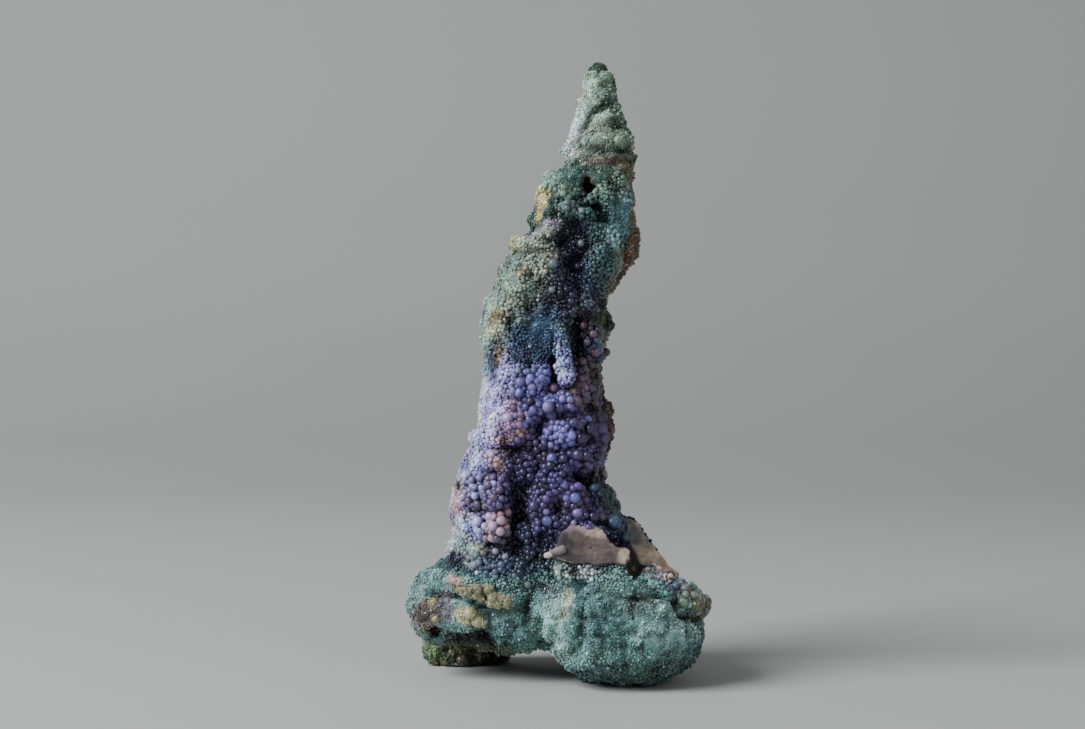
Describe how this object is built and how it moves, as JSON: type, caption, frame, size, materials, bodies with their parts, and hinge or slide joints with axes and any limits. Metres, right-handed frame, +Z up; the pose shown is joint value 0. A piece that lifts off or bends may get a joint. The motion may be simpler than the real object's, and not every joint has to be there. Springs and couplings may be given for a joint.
{
  "type": "grape agate specimen",
  "caption": "Standing grape agate: a bent tapering finger of bead-like chalcedony, violet at its middle and green above and below, on a rough spreading base.",
  "frame": {"origin": "floor level, under the middle of the stone's outer box", "axes": "+Z up, along the finger; -Y towards the viewer of the front, where the front lobe stands out; +X to the viewer's right"},
  "size_m": [0.0782, 0.0608, 0.1588],
  "materials": {
    "chalcedony": "satin, glassy on the beads"
  },
  "bodies": {
    "root": {"grape_agate": "chalcedony"}
  },
  "joints": []
}
